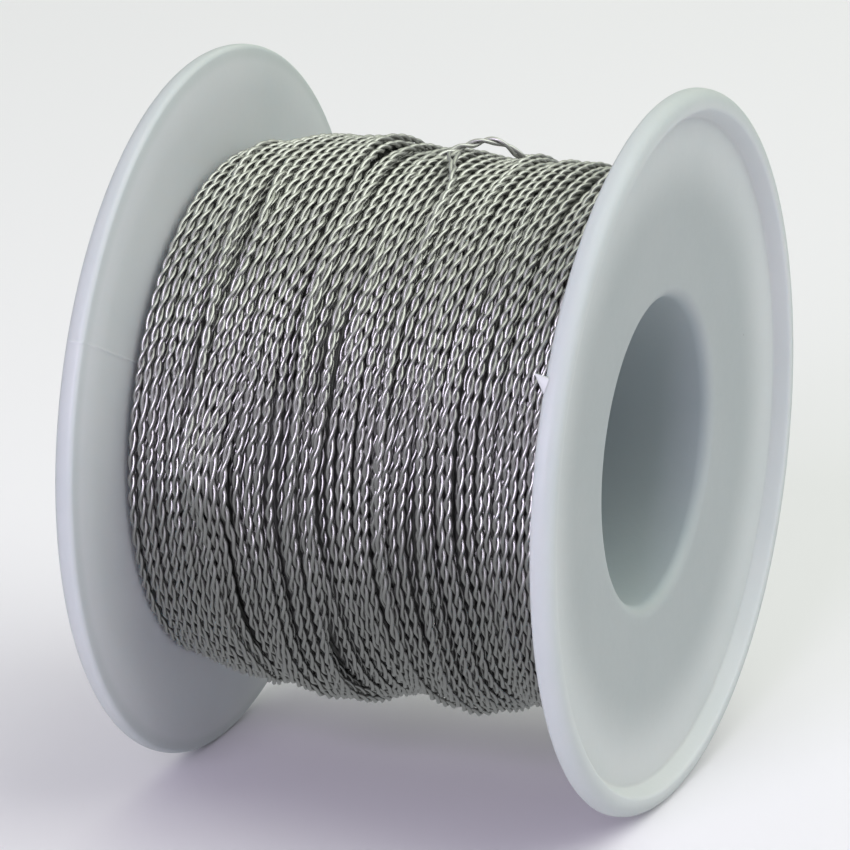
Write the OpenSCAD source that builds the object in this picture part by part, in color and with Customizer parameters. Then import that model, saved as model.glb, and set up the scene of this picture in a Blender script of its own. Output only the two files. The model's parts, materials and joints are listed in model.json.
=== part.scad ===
// Small plastic wire spool, full of two-strand twisted steel wire.
// It lies on its two rims, with its bore along X and the floor at z = 0.

/* [Spool] */
// Outside diameter of both flanges
flange_d = 50; // [46:0.5:60]
// Width of the spool over both rims
spool_w = 35.6; // [32:0.2:50]
// Thickness of a rim, along the bore
rim_t = 1.45; // [1.35:0.05:2]
// Radius of the rounding on a rim's outer corner
rim_round = 0.95; // [0.4:0.05:1]
// Radius of the rounding on a rim's inner corner
inner_round = 0.4; // [0.2:0.05:0.4]
// Radial width of a rim, from the outside to the end of its flat crest
crest_w = 1.4; // [1.3:0.1:2]
// Radial width of the slope from the crest down to the dished face
slope_w = 0.65; // [0.5:0.05:1.2]
// Depth of the dished face below the crest, beside the rim
recess_d = 1.1; // [0.6:0.05:1.2]
// Further depth of the dished face, from the rim to the bore
dish_d = 0.4; // [0.3:0.05:0.7]
// Thickness of a flange's web
web_t = 0.75; // [0.7:0.05:0.9]

/* [Barrel] */
// Diameter of the through bore
bore_d = 21.2; // [18:0.1:23]
// Thickness of the barrel's wall
barrel_wall = 1.6; // [1.4:0.1:2.2]
// Radius of the rounded lip at each end of the bore
lip_round = 0.9; // [0.4:0.1:1.1]

/* [Wire] */
// Diameter over the two twisted strands
wire_d = 0.6; // [0.5:0.1:0.8]
// Mean outside diameter of the full winding
winding_d = 38.2; // [34:0.2:40]
// Diameter where the inner layers end and the top layers begin
core_d = 34.6; // [30:0.2:35]
// Radial fall of the winding at its left end
shoulder_drop = 0.8; // [0.3:0.1:1]
// Width of that rounded left end
shoulder_w = 4; // [1:0.5:5]

/* [Hidden] */
$fn = 96;

flange_r = flange_d / 2;
bore_r = bore_d / 2;
barrel_r = bore_r + barrel_wall;
winding_r = winding_d / 2;
core_r = core_d / 2;
half_w = spool_w / 2;
crest_r = flange_r - crest_w;
recess_r = crest_r - slope_w;
rim_x = half_w - rim_t;
recess_x = half_w - recess_d;
hub_x = recess_x - dish_d;

// Slope of the dished face, and of the web's inner face, which runs parallel to it
dish_slope = dish_d / (recess_r - barrel_r);
cut = 0.01;

// Height along X of the web's inner face at radius r
function inner_x(r) = hub_x - web_t + dish_slope * (r - barrel_r);

// The free wire end as [angle from +Y towards +Z, x, height of its centre over the winding].
// It leaves the top layers, lifts in a slack arch, goes once round the spool and ends cut.
ARCH = [
    [102, -0.6, 0.3], [97, -0.6, 0.3], [92, -0.5, 0.35], [87, -0.3, 0.5], [83, 0.2, 0.7],
    [79.5, 1, 0.85], [77, 2, 0.9], [75, 3, 0.8], [72, 3.8, 0.55], [67, 4.2, 0.35]
];
TAIL = [
    [-253, 3.1, 0.3], [-257.5, 2.8, 0.35], [-262, 2.2, 0.4], [-266, 1.6, 0.45], [-270, 1.2, 0.5]
];
turn_from = 62;
turn_to = -248;
turn_step = 5;
turn_x_from = 4.3;
turn_x_to = 3.2;
cord_sides = 8;

// x of the wire's last turn at angle a, which drifts slowly to the left
function turn_x(a) = turn_x_from + (turn_x_to - turn_x_from) * (turn_from - a) / (turn_from - turn_to);
turn = [for (a = [turn_from : -turn_step : turn_to]) [a, turn_x(a), wire_d / 2]];
route = [
    for (p = concat(ARCH, turn, TAIL))
        let (r = winding_r + p[2])
        [p[1], r * cos(p[0]), r * sin(p[0])]
];

// Direction of the route at point i, and the two directions across it
function unit(v) = v / norm(v);
function along(i) = unit(route[min(i + 1, len(route) - 1)] - route[max(i - 1, 0)]);
function side(i) = unit(cross(along(i), [0, route[i][1], route[i][2]]));
function over(i) = cross(side(i), along(i));
function ring(i) = [
    for (k = [0 : cord_sides - 1])
        let (a = 360 * k / cord_sides)
        route[i] + wire_d / 2 * (cos(a) * side(i) + sin(a) * over(i))
];

// Turns a profile of [radius, height along X] round the bore's axis and lifts it off the floor
module turned() {
    translate([0, 0, flange_r]) rotate([0, 90, 0]) rotate_extrude() children();
}

// Square corner at [r, x] of the profile, less the arc of radius c that rounds it
module corner_waste(r, x, c, right) {
    s = right ? 1 : -1;
    translate([r, x]) difference() {
        translate([-c, right ? -c : -cut]) square([c + cut, c + cut]);
        translate([-c, -s * c]) circle(r = c, $fn = 64);
    }
}

// Profile of the right flange: a thin dished web inside a thick rounded rim
module flange_profile() {
    difference() {
        polygon([
            [barrel_r, inner_x(barrel_r)],
            [barrel_r, hub_x],
            [recess_r, recess_x],
            [crest_r, half_w],
            [flange_r, half_w],
            [flange_r, rim_x],
            [recess_r, inner_x(recess_r)]
        ]);
        corner_waste(flange_r, half_w, rim_round, true);
        corner_waste(flange_r, rim_x, inner_round, false);
    }
}

// Profile of the barrel, with the bore's lip rounded at both ends
module barrel_profile() {
    difference() {
        translate([bore_r, -hub_x]) square([barrel_wall, 2 * hub_x]);
        for (end = [0, 1]) mirror([0, end]) translate([bore_r, hub_x]) difference() {
            translate([-cut, -lip_round]) square([lip_round + cut, lip_round + cut]);
            translate([lip_round, -lip_round]) circle(r = lip_round, $fn = 64);
        }
    }
}

module right_flange() {
    color("whitesmoke") turned() flange_profile();
}

module left_flange() {
    color("whitesmoke") turned() mirror([0, 1]) flange_profile();
}

module barrel() {
    color("whitesmoke") turned() barrel_profile();
}

// Wound layers from the barrel out, packed tight between the two webs
module inner_layers() {
    color("dimgray") turned() polygon([
        [barrel_r, -inner_x(barrel_r)],
        [barrel_r, inner_x(barrel_r)],
        [core_r, inner_x(core_r)],
        [core_r, -inner_x(core_r)]
    ]);
}

// The layers in sight, which fall away in a rounded shoulder at the left web
module top_layers() {
    low_r = winding_r - shoulder_drop;
    color("darkgray") turned() polygon([
        [core_r, -inner_x(core_r)],
        [core_r, inner_x(core_r)],
        [winding_r, inner_x(winding_r)],
        [winding_r, shoulder_w - inner_x(low_r)],
        [winding_r - shoulder_drop / 3, shoulder_w / 2 - inner_x(low_r)],
        [low_r, -inner_x(low_r)]
    ]);
}

module wire_end() {
    n = len(route);
    last = (n - 1) * cord_sides;
    walls = [
        for (i = [0 : n - 2]) for (k = [0 : cord_sides - 1])
            let (a = i * cord_sides + k, b = i * cord_sides + (k + 1) % cord_sides)
            [a, b, b + cord_sides, a + cord_sides]
    ];
    start = [for (k = [cord_sides - 1 : -1 : 0]) k];
    finish = [for (k = [0 : cord_sides - 1]) last + k];
    color("silver") translate([0, 0, flange_r])
        polyhedron(points = [for (i = [0 : n - 1]) each ring(i)], faces = concat([start], walls, [finish]));
}

left_flange();
right_flange();
barrel();
inner_layers();
top_layers();
wire_end();
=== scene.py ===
import json
import math

import bpy
import numpy as np
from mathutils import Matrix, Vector


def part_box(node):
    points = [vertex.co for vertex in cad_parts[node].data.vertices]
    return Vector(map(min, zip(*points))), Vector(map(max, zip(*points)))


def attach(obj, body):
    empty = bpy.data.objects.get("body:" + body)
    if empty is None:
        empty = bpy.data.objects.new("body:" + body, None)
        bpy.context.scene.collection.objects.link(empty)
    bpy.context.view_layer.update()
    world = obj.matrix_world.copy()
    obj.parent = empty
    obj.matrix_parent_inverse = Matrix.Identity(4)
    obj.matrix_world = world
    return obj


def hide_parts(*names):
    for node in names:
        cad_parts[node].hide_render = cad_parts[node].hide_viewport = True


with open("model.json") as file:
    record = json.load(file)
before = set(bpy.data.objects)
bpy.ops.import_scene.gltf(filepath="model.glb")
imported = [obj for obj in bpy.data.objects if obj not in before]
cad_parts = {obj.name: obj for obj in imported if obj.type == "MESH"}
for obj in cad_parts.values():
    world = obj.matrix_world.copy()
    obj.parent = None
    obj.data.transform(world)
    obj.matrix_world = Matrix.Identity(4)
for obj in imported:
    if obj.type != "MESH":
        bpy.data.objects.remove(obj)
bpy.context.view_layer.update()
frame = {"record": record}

# Lengths are in millimetres until a mesh, a light or a material is made; the frame is in metres.
MM = 0.001
SEED = 7

# Angles round the spool are in degrees from +Y towards +Z, so 90 is the top and 180 is the front.


# ---------------------------------------------------------------- sizes from the frame

def mm_box(node):
    """The two corners of a node's box, in millimetres."""
    low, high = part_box(node)
    return np.array(low) / MM, np.array(high) / MM


flange_low, flange_high = mm_box("right_flange")
barrel_low, barrel_high = mm_box("barrel")
winding_low, winding_high = mm_box("top_layers")
core_low, core_high = mm_box("inner_layers")
bore_mount = next(m for m in frame["record"]["mounts"] if m["name"] == "spindle_bore")

AXIS_Z = (flange_low[2] + flange_high[2]) / 2
FLANGE_R = (flange_high[2] - flange_low[2]) / 2
HALF_W = flange_high[0]
BARREL_R = (barrel_high[2] - barrel_low[2]) / 2
HUB_X = barrel_high[0]
BORE_R = bore_mount["dims"]["r_mm"]
WINDING_R = (winding_high[2] - winding_low[2]) / 2
CORE_R = (core_high[2] - core_low[2]) / 2

# The flange's profile, as in the design
RIM_T = 1.45
RIM_ROUND = 0.95
INNER_ROUND = 0.4
CREST_W = 1.4
CREST_ROUND = 0.32
SLOPE_W = 0.65
RECESS_D = 1.1
RECESS_ROUND = 0.3
WEB_T = 0.75
WEB_ROUND = 0.5
LIP_ROUND = 0.9
CREST_R = FLANGE_R - CREST_W
RECESS_R = CREST_R - SLOPE_W
RECESS_X = HALF_W - RECESS_D
DISH_SLOPE = (RECESS_X - HUB_X) / (RECESS_R - BARREL_R)

# The wire: two strands of half its diameter, twisted right-handed, and the pitch of its turns
WIRE_D = 0.6
STRAND_R = WIRE_D / 4
LAY = 2.9
PITCH = 0.635


def web_inner_x(r):
    """Distance from the middle of the spool to a web's inner face at radius r."""
    return HUB_X - WEB_T + DISH_SLOPE * (r - BARREL_R)


# ---------------------------------------------------------------- mesh helpers

def mesh_object(name, points, faces, material):
    """An object from points in millimetres, with x along the bore and the axis at height 0."""
    mesh = bpy.data.meshes.new(name)
    placed = np.asarray(points, float) * MM
    placed[:, 2] += AXIS_Z * MM
    faces = np.asarray(faces, np.int32)
    corners = faces.shape[1]
    mesh.vertices.add(len(placed))
    mesh.vertices.foreach_set("co", placed.astype(np.float32).ravel())
    mesh.loops.add(faces.size)
    mesh.loops.foreach_set("vertex_index", faces.ravel())
    mesh.polygons.add(len(faces))
    mesh.polygons.foreach_set("loop_start", np.arange(0, faces.size, corners, dtype=np.int32))
    mesh.polygons.foreach_set("use_smooth", np.full(len(faces), True))
    mesh.update(calc_edges=True)
    mesh.validate()
    mesh.materials.append(material)
    piece = bpy.data.objects.new(name, mesh)
    bpy.context.scene.collection.objects.link(piece)
    return piece


def rounded_outline(corners, steps=8):
    """A closed outline of [x, r] through corners of (x, r, rounding), each turned into an arc."""
    outline = []
    for i, (x, r, rounding) in enumerate(corners):
        here = np.array([x, r])
        back = np.array(corners[i - 1][:2]) - here
        ahead = np.array(corners[(i + 1) % len(corners)][:2]) - here
        back /= np.linalg.norm(back)
        ahead /= np.linalg.norm(ahead)
        if rounding <= 0:
            outline.append(here)
            continue
        half = math.acos(np.clip(back @ ahead, -1, 1)) / 2
        middle = back + ahead
        centre = here + middle / np.linalg.norm(middle) * rounding / math.sin(half)
        start = here + back * rounding / math.tan(half) - centre
        finish = here + ahead * rounding / math.tan(half) - centre
        sweep = math.pi - 2 * half
        for k in range(steps + 1):
            t = k / steps
            spoke = (math.sin((1 - t) * sweep) * start + math.sin(t * sweep) * finish) / math.sin(sweep)
            outline.append(centre + spoke)
    return np.array(outline)


def split_long(outline, longest):
    """The closed outline with points added, so that no side is longer than longest."""
    points = []
    for a, b in zip(outline, np.roll(outline, -1, axis=0)):
        n = max(1, math.ceil(np.linalg.norm(b - a) / longest))
        points += [a + (b - a) * k / n for k in range(n)]
    return np.array(points)


def even_angles(count):
    """Angles in radians, evenly round a full turn."""
    return np.arange(count) / count * 2 * math.pi


def ring_faces(rings, sides):
    """Four-cornered faces between rings of points, each ring with the same number of sides."""
    i, j = np.meshgrid(np.arange(rings - 1), np.arange(sides), indexing="ij")
    j2 = (j + 1) % sides
    corners = [i * sides + j, i * sides + j2, (i + 1) * sides + j2, (i + 1) * sides + j]
    return np.stack(corners, axis=-1).reshape(-1, 4)


def stood(x, r, angle):
    """The point at x and radius r, at an angle in degrees."""
    a = math.radians(angle)
    return np.array([x, r * math.cos(a), r * math.sin(a)])


def turned_mesh(outline, angle, warp=None):
    """Points and faces of a closed outline of [x, r] turned round the bore's axis, through each angle."""
    turns = len(angle)
    x = np.repeat(outline[None, :, 0], turns, axis=0)
    r = np.repeat(outline[None, :, 1], turns, axis=0)
    a = np.repeat(angle[:, None], len(outline), axis=1)
    if warp is not None:
        x, r = warp(x, r, a)
    points = np.stack([x, r * np.cos(a), r * np.sin(a)], axis=-1).reshape(-1, 3)
    n = len(outline)
    i, j = np.meshgrid(np.arange(turns), np.arange(n), indexing="ij")
    i2, j2 = (i + 1) % turns, (j + 1) % n
    faces = np.stack([i * n + j, i * n + j2, i2 * n + j2, i2 * n + j], axis=-1).reshape(-1, 4)
    return points, faces


# ---------------------------------------------------------------- materials

def new_material(name):
    """A new material, with its nodes, its links and its shader."""
    material = bpy.data.materials.new(name)
    material.use_nodes = True
    nodes = material.node_tree.nodes
    return material, nodes, material.node_tree.links, nodes["Principled BSDF"]


def noise(nodes, links, scale, detail):
    """A noise pattern in the object's own coordinates, scale repeats to the metre."""
    where = nodes.new("ShaderNodeTexCoord")
    texture = nodes.new("ShaderNodeTexNoise")
    texture.inputs["Scale"].default_value = scale
    texture.inputs["Detail"].default_value = detail
    links.new(where.outputs["Object"], texture.inputs["Vector"])
    return texture.outputs["Fac"]


def ramp(nodes, links, value, stops):
    """A colour ramp over value, from its two stops of (position, colour)."""
    node = nodes.new("ShaderNodeValToRGB")
    for element, (position, colour) in zip(node.color_ramp.elements, stops):
        element.position = position
        element.color = (*colour, 1)
    links.new(value, node.inputs["Fac"])
    return node.outputs["Color"]


def spread(nodes, links, value, low, high):
    """value, from 0 to 1, mapped to low to high."""
    node = nodes.new("ShaderNodeMapRange")
    node.inputs["To Min"].default_value = low
    node.inputs["To Max"].default_value = high
    links.new(value, node.inputs["Value"])
    return node.outputs["Result"]


def bump(nodes, links, height, distance):
    """A bumped surface, where height's 0 to 1 stands for a distance in metres."""
    node = nodes.new("ShaderNodeBump")
    node.inputs["Strength"].default_value = BUMP_STRENGTH
    node.inputs["Distance"].default_value = distance
    links.new(height, node.inputs["Height"])
    return node.outputs["Normal"]


def radius_from_axis(nodes, links):
    """Distance from the bore's axis, in metres."""
    where = nodes.new("ShaderNodeTexCoord")
    offset = nodes.new("ShaderNodeVectorMath")
    offset.operation = "SUBTRACT"
    offset.inputs[1].default_value = (0, 0, AXIS_Z * MM)
    flat = nodes.new("ShaderNodeVectorMath")
    flat.operation = "MULTIPLY"
    flat.inputs[1].default_value = (0, 1, 1)
    length = nodes.new("ShaderNodeVectorMath")
    length.operation = "LENGTH"
    links.new(where.outputs["Object"], offset.inputs[0])
    links.new(offset.outputs["Vector"], flat.inputs[0])
    links.new(flat.outputs["Vector"], length.inputs[0])
    return length.outputs["Value"]


def distance_from_middle(nodes, links):
    """Distance along the axis from the middle of the spool, in metres."""
    where = nodes.new("ShaderNodeTexCoord")
    split = nodes.new("ShaderNodeSeparateXYZ")
    size = nodes.new("ShaderNodeMath")
    size.operation = "ABSOLUTE"
    links.new(where.outputs["Object"], split.inputs["Vector"])
    links.new(split.outputs["X"], size.inputs[0])
    return size.outputs["Value"]


def between(nodes, links, value, start, finish):
    """0 for a value in metres up to start millimetres and 1 from finish on, with a soft step between."""
    node = nodes.new("ShaderNodeMapRange")
    node.interpolation_type = "SMOOTHSTEP"
    node.inputs["From Min"].default_value = start * MM
    node.inputs["From Max"].default_value = finish * MM
    links.new(value, node.inputs["Value"])
    return node.outputs["Result"]


def colour_mix(nodes):
    """A colour mixing node, with its two colour inputs and its output."""
    node = nodes.new("ShaderNodeMix")
    node.data_type = "RGBA"
    return node, node.inputs[6], node.inputs[7], node.outputs[2]


def mixed(nodes, links, share, first, second):
    """Two colours mixed, each a colour or an output of another node."""
    node, first_input, second_input, result = colour_mix(nodes)
    links.new(share, node.inputs["Factor"])
    for socket, colour in ((first_input, first), (second_input, second)):
        if isinstance(colour, tuple):
            socket.default_value = (*colour, 1)
        else:
            links.new(colour, socket)
    return result


def shaded(nodes, links, colour, shade):
    """The colour multiplied by a shade."""
    node, first_input, second_input, result = colour_mix(nodes)
    node.blend_type = "MULTIPLY"
    node.inputs["Factor"].default_value = 1
    links.new(colour, first_input)
    second_input.default_value = (*shade, 1)
    return result


# Specks in the plastic: x, distance from the axis, angle, radius
SPECKS = [
    (16.6, 17.3, 12.6, 0.16),
    (16.7, 19.4, 112, 0.09),
    (16.85, 22.4, 141, 0.07),
    (-15.7, 20.5, 92, 0.12),
    (-16.6, 15.5, -40, 0.13),
]
SPECK_COLOUR = (0.12, 0.12, 0.13)


def specked(nodes, links, colour):
    """The colour with a few small dark specks of dirt moulded into the flanges."""
    where = nodes.new("ShaderNodeTexCoord")
    for x, r, angle, radius in SPECKS:
        away = nodes.new("ShaderNodeVectorMath")
        away.operation = "DISTANCE"
        away.inputs[1].default_value = (stood(x, r, angle) + [0, 0, AXIS_Z]) * MM
        links.new(where.outputs["Object"], away.inputs[0])
        clear = between(nodes, links, away.outputs["Value"], radius / 2, radius)
        colour = mixed(nodes, links, clear, SPECK_COLOUR, colour)
    return colour


# The plastic is cloudy between two tones
CLOUD_SCALE = 90
CLOUD_STOPS = [(0.3, (0.565, 0.595, 0.605)), (0.7, (0.61, 0.63, 0.64))]
FLAKE_COLOUR = (0.59, 0.61, 0.62)

# Painted shade: the shadow of the wire behind the translucent plastic is painted into the colour of the
# barrel and of the webs' outer faces. The shade is full up to the first of these radii and gone at the
# second.
# The bore gets a little more painted shade, and the rims get painted shade as well.
PAINTED_WIRE_SHADE = (0.73, 0.75, 0.755)
WEB_FADE = (16.5, 22.0)
PAINTED_BORE_SHADE = (0.92, 0.96, 0.98)
BORE_EDGE = (BORE_R - 0.05, BORE_R + 0.4)
PAINTED_RIM_SHADE = (0.89, 0.91, 0.9)
RIM_EDGE = (FLANGE_R - 1.3, FLANGE_R - 0.5)

# Where a flange begins, going out from the axis, and where its outer face does, going out from the middle
FLANGE_FOOT = (BARREL_R, BARREL_R + 1)
OUTER_FACE = (web_inner_x(RECESS_R), web_inner_x(RECESS_R) + 0.4)

# Repeats to the metre and heights in metres of the fine unevenness of each surface
BUMP_STRENGTH = 0.25
PEEL_SCALE, PEEL_HEIGHT = 1800, 0.00004
DRAW_SCALE, DRAW_HEIGHT = 9000, 0.000012
PLASTIC_ROUGHNESS = (0.38, 0.52)
FLAKE_ROUGHNESS = 0.45


def plastic_colour(nodes, links):
    """Cloudy white, with painted shade where wire lies behind it, in the bore and on the rims."""
    cloud = noise(nodes, links, CLOUD_SCALE, 3)
    plain = ramp(nodes, links, cloud, CLOUD_STOPS)
    radius = radius_from_axis(nodes, links)
    clear_of_wire = between(nodes, links, radius, *WEB_FADE)
    # Painted shade of the wire behind the plastic
    over_wire = mixed(nodes, links, clear_of_wire, shaded(nodes, links, plain, PAINTED_WIRE_SHADE), plain)

    # The painted wire shade stays on the barrel and the flanges' outer faces; their inner faces keep the
    # plain colour
    on_outer_face = between(nodes, links, distance_from_middle(nodes, links), *OUTER_FACE)
    flange = mixed(nodes, links, on_outer_face, plain, over_wire)
    on_flange = between(nodes, links, radius, *FLANGE_FOOT)
    colour = mixed(nodes, links, on_flange, over_wire, flange)

    out_of_bore = between(nodes, links, radius, *BORE_EDGE)
    # Painted shade on the bore's wall
    colour = mixed(nodes, links, out_of_bore, shaded(nodes, links, colour, PAINTED_BORE_SHADE), colour)
    # Painted shade that darkens the rims
    on_rim = between(nodes, links, radius, *RIM_EDGE)
    return mixed(nodes, links, on_rim, colour, shaded(nodes, links, colour, PAINTED_RIM_SHADE))


def plastic_material():
    """Natural moulded plastic, a little translucent."""
    material, nodes, links, shader = new_material("spool_plastic")
    links.new(specked(nodes, links, plastic_colour(nodes, links)), shader.inputs["Base Color"])
    peel = noise(nodes, links, PEEL_SCALE, 3)
    links.new(spread(nodes, links, peel, *PLASTIC_ROUGHNESS), shader.inputs["Roughness"])
    links.new(bump(nodes, links, peel, PEEL_HEIGHT), shader.inputs["Normal"])
    shader.inputs["Subsurface Weight"].default_value = 0.7
    shader.inputs["Subsurface Radius"].default_value = (1.0, 1.15, 1.2)
    shader.inputs["Subsurface Scale"].default_value = 0.0008
    shader.inputs["IOR"].default_value = 1.5
    shader.inputs["Specular IOR Level"].default_value = 0.45
    return material


def flake_material():
    """The same plastic where it is only a thin flake."""
    material, nodes, links, shader = new_material("thin_plastic")
    shader.inputs["Base Color"].default_value = (*FLAKE_COLOUR, 1)
    shader.inputs["Roughness"].default_value = FLAKE_ROUGHNESS
    peel = noise(nodes, links, PEEL_SCALE, 3)
    links.new(bump(nodes, links, peel, PEEL_HEIGHT), shader.inputs["Normal"])
    return material


# The tone and roughness of each steel: darker where it lies deeper, which is painted shade, and rougher
TOP_STEEL = ((0.53, 0.53, 0.515), 0.37)
UNDER_STEEL = ((0.44, 0.44, 0.43), 0.38)
HIDDEN_STEEL = ((0.36, 0.36, 0.355), 0.45)


def steel_material(name, tone, roughness):
    """Drawn steel strand: bright, a little dulled by drawing soap, with fine draw lines."""
    material, nodes, links, shader = new_material(name)
    shader.inputs["Base Color"].default_value = (*tone, 1)
    shader.inputs["Metallic"].default_value = 1.0
    shader.inputs["Roughness"].default_value = roughness
    lines = noise(nodes, links, DRAW_SCALE, 2)
    links.new(bump(nodes, links, lines, DRAW_HEIGHT), shader.inputs["Normal"])
    return material


def floor_material():
    """A pale, matt table top."""
    material, nodes, links, shader = new_material("floor")
    shader.inputs["Base Color"].default_value = (0.86, 0.84, 0.89, 1)
    shader.inputs["Roughness"].default_value = 0.9
    return material


# ---------------------------------------------------------------- camera

# Azimuths go from the front, -Y, towards +X, in degrees
VIEW_AZIMUTH = 21.94
VIEW_ELEVATION = 17.25
VIEW_DISTANCE = 422.0
VIEW_TARGET = (-0.93, 0, AXIS_Z - 0.05)
VIEW_LENS = 258.1
SENSOR_WIDTH = 36


def aim(thing, target, azimuth, elevation, distance):
    """Sets a camera or lamp at a distance in millimetres from target, and turns it to face it."""
    a, e = math.radians(azimuth), math.radians(elevation)
    back = Vector((math.sin(a) * math.cos(e), -math.cos(a) * math.cos(e), math.sin(e)))
    thing.location = Vector(target) * MM + back * distance * MM
    thing.rotation_mode = "QUATERNION"
    thing.rotation_quaternion = (-back).to_track_quat("-Z", "Y")
    bpy.context.scene.collection.objects.link(thing)


def add_camera():
    """A long lens, where the photo was taken from."""
    data = bpy.data.cameras.new("camera")
    data.lens = VIEW_LENS
    data.sensor_width = SENSOR_WIDTH
    data.clip_start = 0.01
    data.clip_end = 20
    camera = bpy.data.objects.new("camera", data)
    aim(camera, VIEW_TARGET, VIEW_AZIMUTH, VIEW_ELEVATION, VIEW_DISTANCE)
    bpy.context.scene.camera = camera


# ---------------------------------------------------------------- twisted wire

def resampled(path, step):
    """The path with its points step apart, and the length along it of each."""
    along = np.concatenate([[0], np.cumsum(np.linalg.norm(np.diff(path, axis=0), axis=1))])
    n = max(2, int(round(along[-1] / step)) + 1)
    at = np.linspace(0, along[-1], n)
    return np.stack([np.interp(at, along, path[:, k]) for k in range(3)], axis=1), at


def directions(path):
    """Unit vectors square to the path at each point: out from the bore's axis, and across."""
    along = np.gradient(path, axis=0)
    along /= np.linalg.norm(along, axis=1)[:, None]
    out = path * [0, 1, 1]
    out -= (out * along).sum(1)[:, None] * along
    out /= np.linalg.norm(out, axis=1)[:, None]
    return out, np.cross(along, out)


# A closed tube's end rings are drawn in to this share of its radius
DRAWN_IN = 0.02


def tube(centres, out, across, radius, sides, closed):
    """Points and faces of one tube round centres, with both ends closed or both open."""
    radius = np.full(len(centres), radius)
    if closed:
        centres, out, across, radius = (
            np.concatenate([v[:1], v, v[-1:]]) for v in (centres, out, across, radius)
        )
        radius[[0, -1]] *= DRAWN_IN
    angle = even_angles(sides)
    rings = centres[:, None, :] + radius[:, None, None] * (
        np.cos(angle)[None, :, None] * out[:, None, :] + np.sin(angle)[None, :, None] * across[:, None, :]
    )
    return rings.reshape(-1, 3), ring_faces(len(centres), sides)


# Slow waves of the twist, tighter and looser by turns: angle, angle to the millimetre, phase, in radians
TWIST_WAVES = [(0.50, 0.83, 0.0), (0.45, 0.37, 1.0), (0.6, 0.131, 0.0)]


def twist(distance):
    """Angle of the twist at a distance along the wire: one turn in each lay on the whole."""
    wander = sum(size * np.sin(rate * distance + phase) for size, rate, phase in TWIST_WAVES)
    return 2 * math.pi * distance / LAY + wander


def twisted_pair(path, step, sides, start, splay=None):
    """The two strands along a path that begins at a distance start along the wire, closed if splayed."""
    path, at = resampled(path, step)
    out, across = directions(path)
    strands = []
    for k in (0, 1):
        turn = math.pi * k + twist(start + at)
        offset = np.full(len(at), STRAND_R)
        if splay is not None:
            turn, offset = splay(turn, offset, at)
        centres = path + offset[:, None] * (
            np.cos(turn)[:, None] * out + np.sin(turn)[:, None] * across
        )
        strands.append(tube(centres, out, across, STRAND_R, sides, splay is not None))
    return strands


def joined(parts):
    """One list of points and faces from several (points, faces)."""
    points, faces, start = [], [], 0
    for p, f in parts:
        points.append(p)
        faces.append(f + start)
        start += len(p)
    return np.concatenate(points), np.concatenate(faces)


# ---------------------------------------------------------------- the winding

# A turn has this many points, one to the degree
COLUMNS = 360

# Crossing turns touch this far apart, since their strands sink in between each other a little
CONTACT = 0.88 * WIRE_D

random = np.random.default_rng(SEED)


def bell(reach):
    """A bell curve's values out to three times its reach on both sides."""
    return np.exp(-0.5 * (np.arange(-3 * reach, 3 * reach + 1) / reach) ** 2)


def smooth_noise(count, reach):
    """Smooth random numbers of unit spread, each alike over about reach neighbours."""
    raw = random.standard_normal(count + 8 * reach)
    kernel = bell(reach)
    soft = np.convolve(raw, kernel, mode="same")[4 * reach:4 * reach + count]
    return soft / math.sqrt((kernel ** 2).sum())


# Places where turns lie bunched up or sunk under the surface: x, half width, height, angle, half angle
BUNCHES = [
    (-9.0, 2.0, 0.50, 75, 40),
    (-5.6, 1.7, 0.80, 78, 38),
    (9.8, 1.3, 0.35, 75, 30),
    (-1.4, 1.0, -0.15, 75, 40),
    (-4.2, 2.4, 0.60, -111, 45),
    (1.9, 1.7, -0.55, -111, 45),
    (6.0, 1.6, 0.05, -111, 40),
    (9.8, 1.7, -0.75, -111, 45),
    (0.9, 1.3, 0.42, 80, 22),
    (4.5, 1.4, 0.12, 170, 40),
    (-4.0, 1.6, 0.12, 150, 40),
]

# The winding falls off towards its left end: where that starts, how far down and over what length
SHOULDER_X = -11.0
SHOULDER_DROP = 1.05
SHOULDER_REACH = 4.2

# Swirls: how many, how far from the middle they lie, how far they lean sideways at most, the ranges of
# their half widths and half angles, and the x from which they fade and at which they end
SWIRLS = 90
SWIRL_X = 13
SWIRL_LEAN = 0.48
SWIRL_WIDTH = (1.4, 2.6)
SWIRL_REACH = (11, 26)
SWIRL_FADE_X, SWIRL_END_X = 12.0, 15.0


def turned_off(angle, where):
    """Difference of two angles in degrees, from -180 to 180."""
    return (angle - where + 180) % 360 - 180


def shoulder_fall(x):
    """0 up to the shoulder at the winding's left end, and 1 at its foot."""
    return np.clip((SHOULDER_X - x) / SHOULDER_REACH, 0, 1)


def bunching(x, angle):
    """How much the layers below stand up at x and angle."""
    lift = np.zeros_like(x)
    for at, width, height, where, reach in BUNCHES:
        lift += height * np.exp(-((x - at) / width) ** 2 - (turned_off(angle, where) / reach) ** 2)
    return lift - SHOULDER_DROP * shoulder_fall(x)


def make_swirls(count):
    """Random places where a bundle of turns leans to one side: x, half width, lean, angle, half angle."""
    return [
        (random.uniform(-SWIRL_X, SWIRL_X), random.uniform(*SWIRL_WIDTH),
         random.uniform(-SWIRL_LEAN, SWIRL_LEAN), random.uniform(0, 360), random.uniform(*SWIRL_REACH))
        for _ in range(count)
    ]


def swirl(x, angle, swirls):
    """Sideways shift of the turns at x and angle, which dies out towards the flanges."""
    shift = np.zeros_like(x)
    for at, width, sideways, where, reach in swirls:
        shift += sideways * np.exp(-((x - at) / width) ** 2 - (turned_off(angle, where) / reach) ** 2)
    return shift * np.clip((SWIRL_END_X - np.abs(x)) / (SWIRL_END_X - SWIRL_FADE_X), 0, 1)


# A layer's pitch varies by this share, in so many stretches to the turn, alike over so many stretches
PITCH_SPREAD = 0.08
STRETCHES = 4
PITCH_REACH = 5

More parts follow.
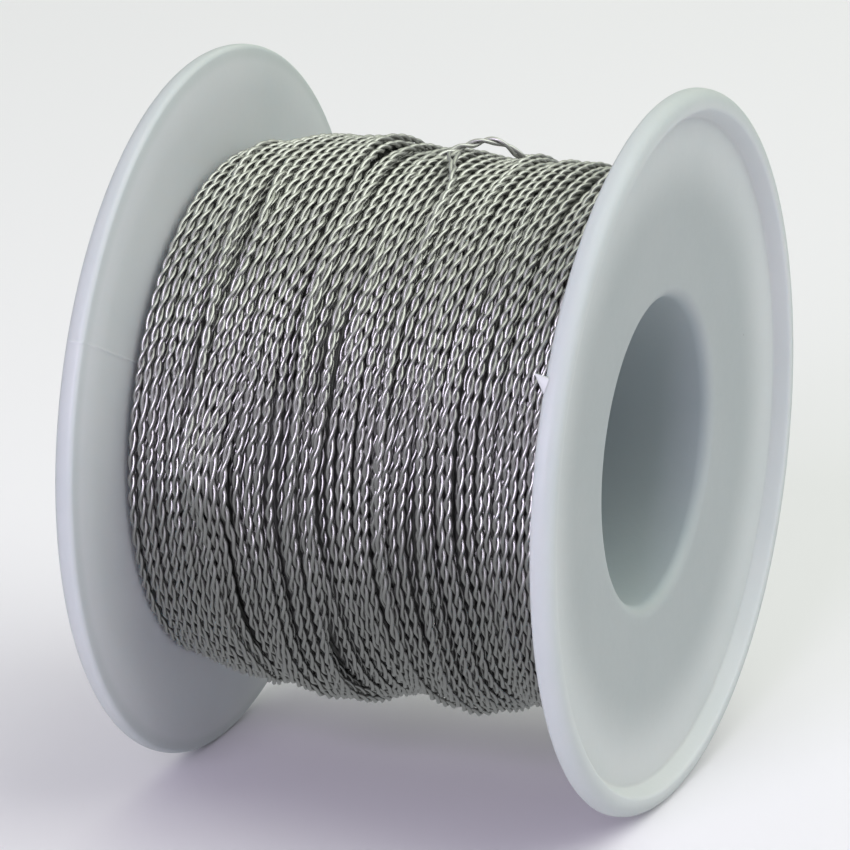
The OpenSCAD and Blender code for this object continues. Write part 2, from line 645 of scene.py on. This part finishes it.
# Its turns wander in long and in short waves of about so many points, the short ones this share as far
LONG_WANDER, SHORT_WANDER = 40, 12
SHORT_SHARE = 0.4

# Single strays step out of line over so many points and by so much sideways
STRAY_REACH = (14, 34)
STRAY_LEAN = (0.5, 0.9)


def layer_line(count, wander, strays):
    """x at each point of a layer of turns, from the left end on, and the largest x there is room for."""
    edge = web_inner_x(WINDING_R) - WIRE_D / 2
    pitches = 1 + PITCH_SPREAD * smooth_noise(count * STRETCHES, PITCH_REACH)
    reached = np.concatenate([[0], np.cumsum(pitches)])
    steps = np.arange(count * COLUMNS)
    reached = np.interp(steps / COLUMNS * STRETCHES, np.arange(len(reached)), reached)
    x = -edge + 2 * edge * reached / reached[-1]
    x += (
        wander * smooth_noise(len(steps), LONG_WANDER)
        + SHORT_SHARE * wander * smooth_noise(len(steps), SHORT_WANDER)
    )
    for _ in range(strays):
        where = random.uniform(2, count - 2) * COLUMNS
        reach = random.uniform(*STRAY_REACH)
        sideways = random.choice([-1, 1]) * random.uniform(*STRAY_LEAN)
        x += sideways * np.exp(-((steps - where) / reach) ** 2)
    return x, edge


def lay_turns(count, base_r, placed, wander, direction, swirls, strays=0):
    """Lays one layer, turn after turn, each resting on the turns already placed."""
    x, edge = layer_line(count, wander, strays)
    angle = np.arange(COLUMNS) / COLUMNS * 360
    x = (x * direction).reshape(count, COLUMNS)
    x = np.clip(x + swirl(x, angle, swirls), -edge, edge)
    laid = []
    for turn_x in x:
        r = base_r + bunching(turn_x, angle)
        for other_x, other_r in placed:
            gap = np.abs(turn_x - other_x)
            height = other_r + np.sqrt(np.maximum(CONTACT ** 2 - gap ** 2, 0))
            r = np.where(gap < CONTACT, np.maximum(r, height), r)
        placed.append((turn_x, r))
        laid.append((turn_x, r))
    return laid


def soften(values, reach):
    """The values smoothed over about reach neighbours."""
    kernel = bell(reach)
    kernel /= kernel.sum()
    padded = np.concatenate([np.full(3 * reach, values[0]), values, np.full(3 * reach, values[-1])])
    return np.convolve(padded, kernel, mode="valid")


# A turn bridges the dips between those under it over this many points
BRIDGED = 4


def layer_path(laid):
    """The path of a whole layer as one long line of points."""
    x = np.concatenate([t[0] for t in laid])
    r = soften(np.concatenate([t[1] for t in laid]), BRIDGED)
    angle = np.arange(len(x)) / COLUMNS * 2 * math.pi
    return np.stack([x, r * np.cos(angle), r * np.sin(angle)], axis=1)


def build_layer(name, laid, step, sides, bands, material, node):
    """A layer's two strands, cut into bands so that no piece's mesh is very large."""
    path = layer_path(laid)
    cuts = np.linspace(0, len(path) - 1, bands + 1).astype(int)
    start = 0.0
    for band in range(bands):
        stretch = path[cuts[band]:cuts[band + 1] + 1]
        strands = twisted_pair(stretch, step, sides, start)
        start += np.linalg.norm(np.diff(stretch, axis=0), axis=1).sum()
        points, faces = joined(strands)
        piece = mesh_object(f"{name}_{band + 1}", points, faces, material)
        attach(piece, "root")
        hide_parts(node)


# Each ridge of the hidden layers: depth of its middle, angle in radians left off its foot, points
RIDGE_DEPTH = 0.1
RIDGE_FOOT = 0.25
RIDGE_POINTS = 5
CORE_STEPS = 120


def core_turns(material):
    """The hidden layers as one turned form, ridged like tightly wound wire."""
    end = web_inner_x(CORE_R)
    count = int(2 * end / PITCH)
    ridge = WIRE_D / 2
    outline = [np.array([end, BARREL_R])]
    for k in range(count):
        x = end - (k + 0.5) * 2 * end / count
        centre = CORE_R - RIDGE_DEPTH - SHOULDER_DROP * shoulder_fall(x)
        outline += [
            np.array([x + ridge * math.cos(a), centre + ridge * math.sin(a)])
            for a in np.linspace(RIDGE_FOOT, math.pi - RIDGE_FOOT, RIDGE_POINTS)
        ]
    outline.append(np.array([-end, BARREL_R]))
    points, faces = turned_mesh(np.array(outline), even_angles(CORE_STEPS))
    piece = mesh_object("core_turns", points, faces, material)
    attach(piece, "root")
    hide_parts("inner_layers")


# ---------------------------------------------------------------- the free end of the wire

# Its route, as in the design: [angle, x, height over the winding]
ARCH = [
    [102, -0.6, 0.3], [97, -0.6, 0.3], [92, -0.5, 0.35], [87, -0.3, 0.5], [83, 0.2, 0.7],
    [79.5, 1, 0.85], [77, 2, 0.9], [75, 3, 0.8], [72, 3.8, 0.55], [67, 4.2, 0.35],
]
TAIL = [
    [-253, 3.1, 0.3], [-257.5, 2.8, 0.35], [-262, 2.2, 0.4], [-266, 1.6, 0.45], [-270, 1.2, 0.5],
]
TURN_FROM, TURN_TO, TURN_STEP = 62, -248, 5
TURN_X_FROM, TURN_X_TO = 4.3, 3.2

# How far the arch's feet dip among the turns: angle, depth
DIPS = [
    (57, 0.0), (62, 0.15), (67, 0.35), (72, 0.5), (75, 0.12),
    (77, 0.0), (79.5, 0.3), (83, 0.55), (87, 0.7), (97, 0.75),
]

# The whole turn lies on the winding between these angles. It touches the turns it crosses this far
# apart, and bridges the dips between them over this many points of its route.
LIES_FROM, LIES_TO = 52, -240
RESTING_CONTACT = 0.85 * WIRE_D
RESTING_REACH = 2

# The strands of the cut end spring apart over this length, to this distance from the wire's middle
SPLAY_LENGTH = 2.2
SPLAY_WIDTH = 0.34
SPLAY_POWER = 1.2

# Pieces of curve to each step of the route, the strands' step and sides, and where their twist begins
CURVE_PIECES = 8
END_STEP, END_SIDES = LAY / 20, 10
END_START = 0.2


def wire_end_route():
    """The route as (angle, x, radius): over the arch, once round and into the tail."""
    turn = []
    for a in range(TURN_FROM, TURN_TO - 1, -TURN_STEP):
        t = (TURN_FROM - a) / (TURN_FROM - TURN_TO)
        turn.append([a, TURN_X_FROM + (TURN_X_TO - TURN_X_FROM) * t, WIRE_D / 2])
    return [(a, x, WINDING_R + lift) for a, x, lift in ARCH + turn + TAIL]


def resting_radius(x, angle, placed):
    """Radius at which one more turn lies on the turns already placed."""
    column = int(round(angle / 360 * COLUMNS)) % COLUMNS
    best = 0.0
    for other_x, other_r in placed:
        gap = abs(x - other_x[column])
        if gap < RESTING_CONTACT:
            best = max(best, other_r[column] + math.sqrt(RESTING_CONTACT ** 2 - gap ** 2))
    return best


def settled_route(route, placed):
    """The route with its whole turn laid on the winding, and the arch's feet sunk among the turns."""
    angles = np.array([a for a, x, r in route])
    radii = np.array([r for a, x, r in route])
    resting = np.array([resting_radius(x, a, placed) for a, x, r in route])
    on_turn = (angles < LIES_FROM) & (angles > LIES_TO)
    radii = radii - np.interp(angles, *zip(*DIPS))
    radii[on_turn] = soften(resting, RESTING_REACH)[on_turn]
    return [(a, x, r) for (a, x, _), r in zip(route, radii)]


def in_space(route):
    """The route's points in space."""
    return np.array([stood(x, r, a) for a, x, r in route])


def smooth_curve(points, per_step):
    """A smooth curve through the points, with per_step pieces to each step."""
    ends = np.concatenate([[2 * points[0] - points[1]], points, [2 * points[-1] - points[-2]]])
    curve = []
    for p0, p1, p2, p3 in zip(ends, ends[1:], ends[2:], ends[3:]):
        for k in range(per_step):
            t = k / per_step
            curve.append(
                0.5 * (2 * p1 + (p2 - p0) * t + (2 * p0 - 5 * p1 + 4 * p2 - p3) * t ** 2
                       + (3 * p1 - p0 - 3 * p2 + p3) * t ** 3)
            )
    curve.append(points[-1])
    return np.array(curve)


def wire_end(material, placed):
    """The free end, which is the one cord: its stated path is the design's, its strands lie settled."""
    route = wire_end_route()
    shown = smooth_curve(in_space(settled_route(route, placed)), CURVE_PIECES)
    total = np.linalg.norm(np.diff(shown, axis=0), axis=1).sum()

    def splay(turn, offset, at):
        """The cut end's strands spring apart over the last stretch and stop twisting."""
        t = np.clip((at - (total - SPLAY_LENGTH)) / SPLAY_LENGTH, 0, 1)
        frozen = turn[np.argmax(t > 0)]
        settled = math.pi / 2 + math.pi * round((frozen - math.pi / 2) / math.pi)
        turn = np.where(t > 0, frozen + (settled - frozen) * np.clip(2 * t, 0, 1), turn)
        return turn, offset + (SPLAY_WIDTH - STRAND_R) * t ** SPLAY_POWER

    points, faces = joined(twisted_pair(shown, END_STEP, END_SIDES, END_START, splay))
    piece = mesh_object("free_wire_end", points, faces, material)
    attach(piece, "root")
    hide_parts("wire_end")


# ---------------------------------------------------------------- the spool

# The mould's parting plane leaves a faint raised line down the left flange, and a burr on the right one
PARTING_ANGLE = 155.3
PARTING_HEIGHT = 0.045
PARTING_WIDTH = 0.09
PARTING_FROM_R = BARREL_R + 1

# The angles across the line: how many, and how many of its widths out to each side
PARTING_STEPS, PARTING_SPREAD = 9, 2.4

# Even steps round the spool, longest side of its outline, how near the rim its edge and inside are
SPOOL_STEPS = 320
LONGEST_SIDE = 1.2
NEAR = 0.2

# Waves of the flanges' rims: height in millimetres, waves to the turn, phase, change of phase by side
FLANGE_WAVES = [(0.05, 2, 0.7, 1), (0.03, 3, 0, 2.1)]


def spool_outline():
    """The spool's closed section, round from the bore's right lip."""
    right = [
        (HUB_X, BORE_R, LIP_ROUND),
        (HUB_X, BARREL_R, 0.0),
        (RECESS_X, RECESS_R, RECESS_ROUND),
        (HALF_W, CREST_R, CREST_ROUND),
        (HALF_W, FLANGE_R, RIM_ROUND),
        (HALF_W - RIM_T, FLANGE_R, INNER_ROUND),
        (web_inner_x(RECESS_R), RECESS_R, 0.0),
        (web_inner_x(BARREL_R), BARREL_R, WEB_ROUND),
    ]
    left = [(-x, r, rounding) for x, r, rounding in reversed(right)]
    return split_long(rounded_outline(right + left), LONGEST_SIDE)


def spool_angles():
    """Even angles round the spool, with more of them across the parting line."""
    across = np.linspace(-PARTING_SPREAD, PARTING_SPREAD, PARTING_STEPS)
    fine = math.radians(PARTING_ANGLE) + across * PARTING_WIDTH / FLANGE_R
    return np.unique(np.concatenate([even_angles(SPOOL_STEPS), fine]))


def spool_warp(x, r, a):
    """Slight unevenness of a thin moulding: flanges that wave, and the parting line's ridge."""
    reach = np.clip((r - BARREL_R) / (FLANGE_R - BARREL_R), 0, 1) ** 2
    side = np.sign(x)
    wave = sum(size * np.cos(n * a + phase + shift * side) for size, n, phase, shift in FLANGE_WAVES)
    ridge = PARTING_HEIGHT * np.exp(-((a - math.radians(PARTING_ANGLE)) * r / PARTING_WIDTH) ** 2)
    ridge = ridge * (side < 0) * (r > PARTING_FROM_R)
    on_edge = r > FLANGE_R - NEAR
    on_inside = ~on_edge & (np.abs(x) < web_inner_x(r) + NEAR)
    return x + wave * reach + ridge * on_inside, r + ridge * on_edge


# The burr's three corners: x from the rim's inner edge, distance out from the rim, angle
BURR_UPPER = (0.35, -0.04, 152.4)
BURR_LOWER = (0.1, -0.18, 155.4)
BURR_TIP = (-0.73, 0.1, 152.1)
BURR_STEPS, BURR_SIDES = 9, 8

# It narrows by this share from base to tip. Half its thickness is an even part and one that narrows too.
BURR_TAPER = 0.97
BURR_EVEN, BURR_NARROWING = 0.02, 0.05


def burr_corner(x, outwards, angle):
    """One of the burr's corners in space."""
    return stood(HALF_W - RIM_T + x, FLANGE_R + outwards, angle)


def burr(material):
    """The thin three-cornered flake of plastic left on the edge of the right flange."""
    upper, lower, tip = (burr_corner(*corner) for corner in (BURR_UPPER, BURR_LOWER, BURR_TIP))
    middle = (upper + lower) / 2
    half_base = (upper - lower) / 2
    share = np.linspace(0, 1, BURR_STEPS)
    centres = middle + (tip - middle) * share[:, None]
    along = (tip - middle) / np.linalg.norm(tip - middle)
    normal = np.cross(half_base - (half_base @ along) * along, along)
    normal /= np.linalg.norm(normal)
    wide = 1 - BURR_TAPER * share
    thin = BURR_EVEN + BURR_NARROWING * wide
    angle = even_angles(BURR_SIDES)[None, :, None]
    rings = (
        centres[:, None, :]
        + wide[:, None, None] * np.cos(angle) * half_base
        + thin[:, None, None] * np.sin(angle) * normal
    )
    facing_out = [0, 3, 2, 1]
    faces = ring_faces(BURR_STEPS, BURR_SIDES)[:, facing_out]
    piece = mesh_object("burr", rings.reshape(-1, 3), faces, material)
    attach(piece, "root")


def spool_body(material):
    """The one moulding, which stands for both flanges and the barrel."""
    points, faces = turned_mesh(spool_outline(), spool_angles(), spool_warp)
    piece = mesh_object("spool_moulding", points, faces, material)
    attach(piece, "root")
    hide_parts("left_flange", "right_flange", "barrel")


# ---------------------------------------------------------------- stage and light

FLOOR_HALF = 3.0


def add_floor():
    """A wide pale floor. It isn't mirrored in the wire, whose underside is dark."""
    mesh = bpy.data.meshes.new("floor")
    corners = [(-1, -1), (1, -1), (1, 1), (-1, 1)]
    mesh.from_pydata([(x * FLOOR_HALF, y * FLOOR_HALF, 0) for x, y in corners], [], [(0, 1, 2, 3)])
    mesh.materials.append(floor_material())
    floor = bpy.data.objects.new("floor", mesh)
    bpy.context.scene.collection.objects.link(floor)
    floor.visible_glossy = False


# Softboxes: name, azimuth, elevation, distance, (width, height) in metres, watts, colour
SOFTBOXES = [
    ("back_softbox", 152, 62, 600, (1.3, 1.1), 2.6, (0.9, 1.0, 0.72)),
    ("front_softbox", 0, 20.5, 620, (0.26, 0.34), 2.4, (0.88, 0.79, 1.0)),
    ("side_softbox", 100, 52, 700, (0.8, 0.8), 2.7, (0.98, 1.0, 0.97)),
    ("left_softbox", -100, 38, 700, (0.5, 0.5), 0.2, (0.97, 0.95, 1.0)),
]
WORLD_COLOUR = (0.9, 0.93, 0.95)
WORLD_STRENGTH = 0.35


def soft_light(name, azimuth, elevation, distance, size, watts, colour):
    """A softbox that faces the spool's middle, placed by the same angles as the camera."""
    data = bpy.data.lights.new(name, "AREA")
    data.shape = "RECTANGLE"
    data.size, data.size_y = size
    data.energy = watts
    data.color = colour
    aim(bpy.data.objects.new(name, data), (0, 0, AXIS_Z), azimuth, elevation, distance)


def add_lights():
    """All the softboxes, with colours shown as they are."""
    for softbox in SOFTBOXES:
        soft_light(*softbox)
    bpy.context.scene.view_settings.view_transform = "Standard"


def add_world():
    """A dim, even surround."""
    world = bpy.data.worlds.new("studio")
    world.use_nodes = True
    backdrop = world.node_tree.nodes["Background"]
    backdrop.inputs["Color"].default_value = (*WORLD_COLOUR, 1)
    backdrop.inputs["Strength"].default_value = WORLD_STRENGTH
    bpy.context.scene.world = world


# ---------------------------------------------------------------- making

# The two outer layers: turns, radius where nothing is under them, wander, strays. The top one is laid
# from the right end back to the left, so its turns cross those below.
UNDER_TURNS, UNDER_R, UNDER_WANDER = 48, WINDING_R - 0.94, 0.04
TOP_TURNS, TOP_R, TOP_WANDER, TOP_STRAYS = 47, WINDING_R - 0.68, 0.05, 14

# How finely each is made: step along the wire, sides of a strand, bands the layer is cut into
UNDER_DETAIL = (LAY / 10, 5, 3)
TOP_DETAIL = (LAY / 14, 6, 4)

swirls = make_swirls(SWIRLS)
placed = []
under = lay_turns(UNDER_TURNS, UNDER_R, placed, UNDER_WANDER, 1, swirls)
top = lay_turns(TOP_TURNS, TOP_R, placed, TOP_WANDER, -1, swirls, TOP_STRAYS)

add_camera()
add_world()
add_lights()
add_floor()
plastic = plastic_material()
steel = steel_material("twisted_wire", *TOP_STEEL)
# The under and inner wire take darker tones as painted shade
under_steel = steel_material("under_wire", *UNDER_STEEL)
hidden_steel = steel_material("inner_wire", *HIDDEN_STEEL)
wire_end(steel, placed)
spool_body(plastic)
burr(flake_material())
core_turns(hidden_steel)
build_layer("under_turns", under, *UNDER_DETAIL, under_steel, "top_layers")
build_layer("top_turns", top, *TOP_DETAIL, steel, "top_layers")
